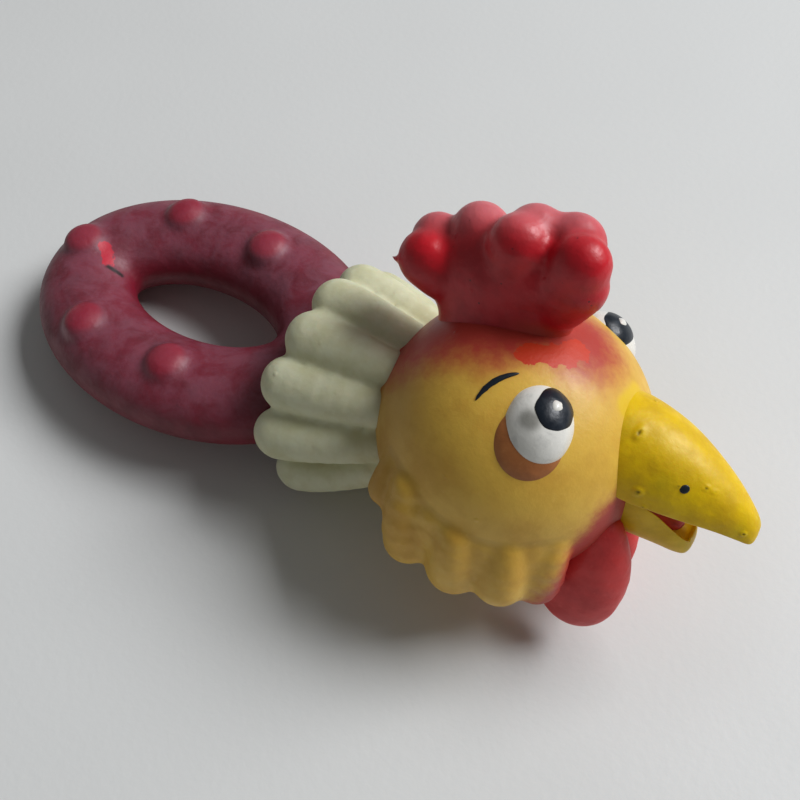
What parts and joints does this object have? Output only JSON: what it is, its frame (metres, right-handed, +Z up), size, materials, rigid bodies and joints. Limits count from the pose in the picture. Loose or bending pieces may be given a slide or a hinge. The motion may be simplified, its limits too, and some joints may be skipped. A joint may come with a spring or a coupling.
{
  "type": "latex squeaky chicken ring toy",
  "caption": "Hollow latex squeaky toy shaped as a round rooster head with comb, beak and wattles, on a feathered neck that ends in a knobbed oval chewing ring.",
  "frame": {"origin": "on the floor under the middle of the toy's bounding box, as it lies at rest", "axes": "+X the way the beak points, +Y the chicken's left, +Z up from the floor"},
  "size_m": [0.1912, 0.0712, 0.088],
  "materials": {
    "head_latex": "satin",
    "beak_latex": "semi-gloss",
    "mouth_paint": "satin",
    "comb_latex": "satin",
    "eye_paint": "gloss",
    "lid_latex": "satin",
    "pupil_paint": "semi-gloss",
    "wattle_latex": "satin",
    "squeaker_plastic": "matte",
    "collar_latex": "matte",
    "ring_latex": "matte with a powdery bloom",
    "nub_latex": "satin"
  },
  "bodies": {
    "head": {"head": "head_latex", "ruff_left": "head_latex", "ruff_right": "head_latex", "upper_beak": "beak_latex", "eye_white_left": "eye_paint", "eye_white_right": "eye_paint", "lower_lid_left": "lid_latex", "lower_lid_right": "lid_latex", "pupil_left": "pupil_paint", "pupil_right": "pupil_paint", "wattle_left": "wattle_latex", "wattle_right": "wattle_latex", "squeaker_housing": "squeaker_plastic", "squeaker_anvil": "squeaker_plastic"},
    "jaw": {"lower_beak": "beak_latex", "tongue": "mouth_paint"},
    "comb": {"comb": "comb_latex"},
    "reed": {"squeaker_reed": "squeaker_plastic"},
    "collar": {"feather_collar": "collar_latex"},
    "ring": {"ring_handle": "ring_latex", "nub_top_1": "nub_latex", "nub_top_2": "nub_latex", "nub_top_3": "nub_latex", "nub_top_4": "nub_latex", "nub_top_5": "nub_latex", "nub_low_1": "nub_latex", "nub_low_2": "nub_latex", "nub_low_3": "nub_latex", "nub_low_4": "nub_latex"}
  },
  "joints": [
    {"name": "comb_rock", "type": "hinge", "parent": "head", "child": "comb", "pos_m": [0.04172, 0.00037, 0.0369], "axis": [0.9942, 0, 0.108], "range_deg": [-6, 6], "stiffness_Nm_per_rad": 0.6},
    {"name": "jaw_flex", "type": "hinge", "parent": "head", "child": "jaw", "pos_m": [0.04172, 0.00037, 0.0369], "axis": [0.0373, 0.9385, -0.3433], "range_deg": [-1, 5], "stiffness_Nm_per_rad": 0.6},
    {"name": "neck_nod", "type": "hinge", "parent": "head", "child": "collar", "pos_m": [0.04172, 0.00037, 0.0369], "axis": [0, 1, 0], "range_deg": [-7, 7], "stiffness_Nm_per_rad": 3},
    {"name": "ring_wag", "type": "hinge", "parent": "collar", "child": "ring", "pos_m": [-0.00072, 0.00037, 0.0211], "axis": [-0.1201, 0, 0.9928], "range_deg": [-9, 9], "stiffness_Nm_per_rad": 3},
    {"name": "reed_flutter", "type": "hinge", "parent": "head", "child": "reed", "pos_m": [0.03922, -0.00528, 0.02117], "axis": [0.0373, 0.9385, -0.3433], "range_deg": [0, 3], "stiffness_Nm_per_rad": 0.002}
  ]
}
